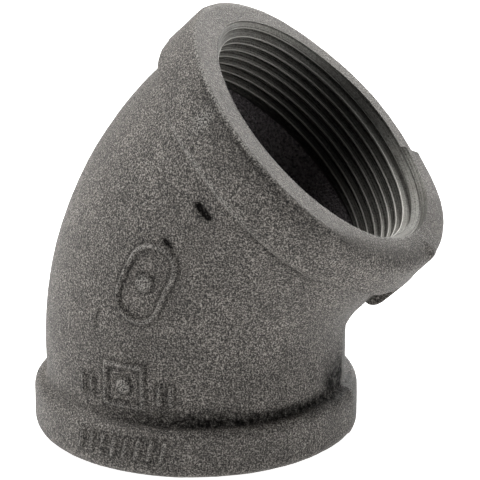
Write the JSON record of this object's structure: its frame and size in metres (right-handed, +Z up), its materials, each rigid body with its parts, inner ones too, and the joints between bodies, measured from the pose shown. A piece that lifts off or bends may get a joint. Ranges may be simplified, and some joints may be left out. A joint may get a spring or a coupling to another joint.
{
  "type": "pipe elbow",
  "caption": "45 degree pipe elbow with a banded, internally threaded socket at each end of a smooth cast-iron bend.",
  "frame": {"origin": "centre of the lower end face, on the lower port's axis", "axes": "+Z up the lower port's axis into the fitting; the upper port leans from +Z towards +X by 45 degrees, and the bend lies in the XZ plane"},
  "size_m": [0.0942, 0.0762, 0.0988],
  "materials": {
    "cast_iron": "as-cast dark grey with a fine sand grain; the thread walls and lead-in chamfers are cut metal"
  },
  "bodies": {
    "root": {"lower_socket": "cast_iron", "bend": "cast_iron", "upper_socket": "cast_iron"}
  },
  "joints": []
}
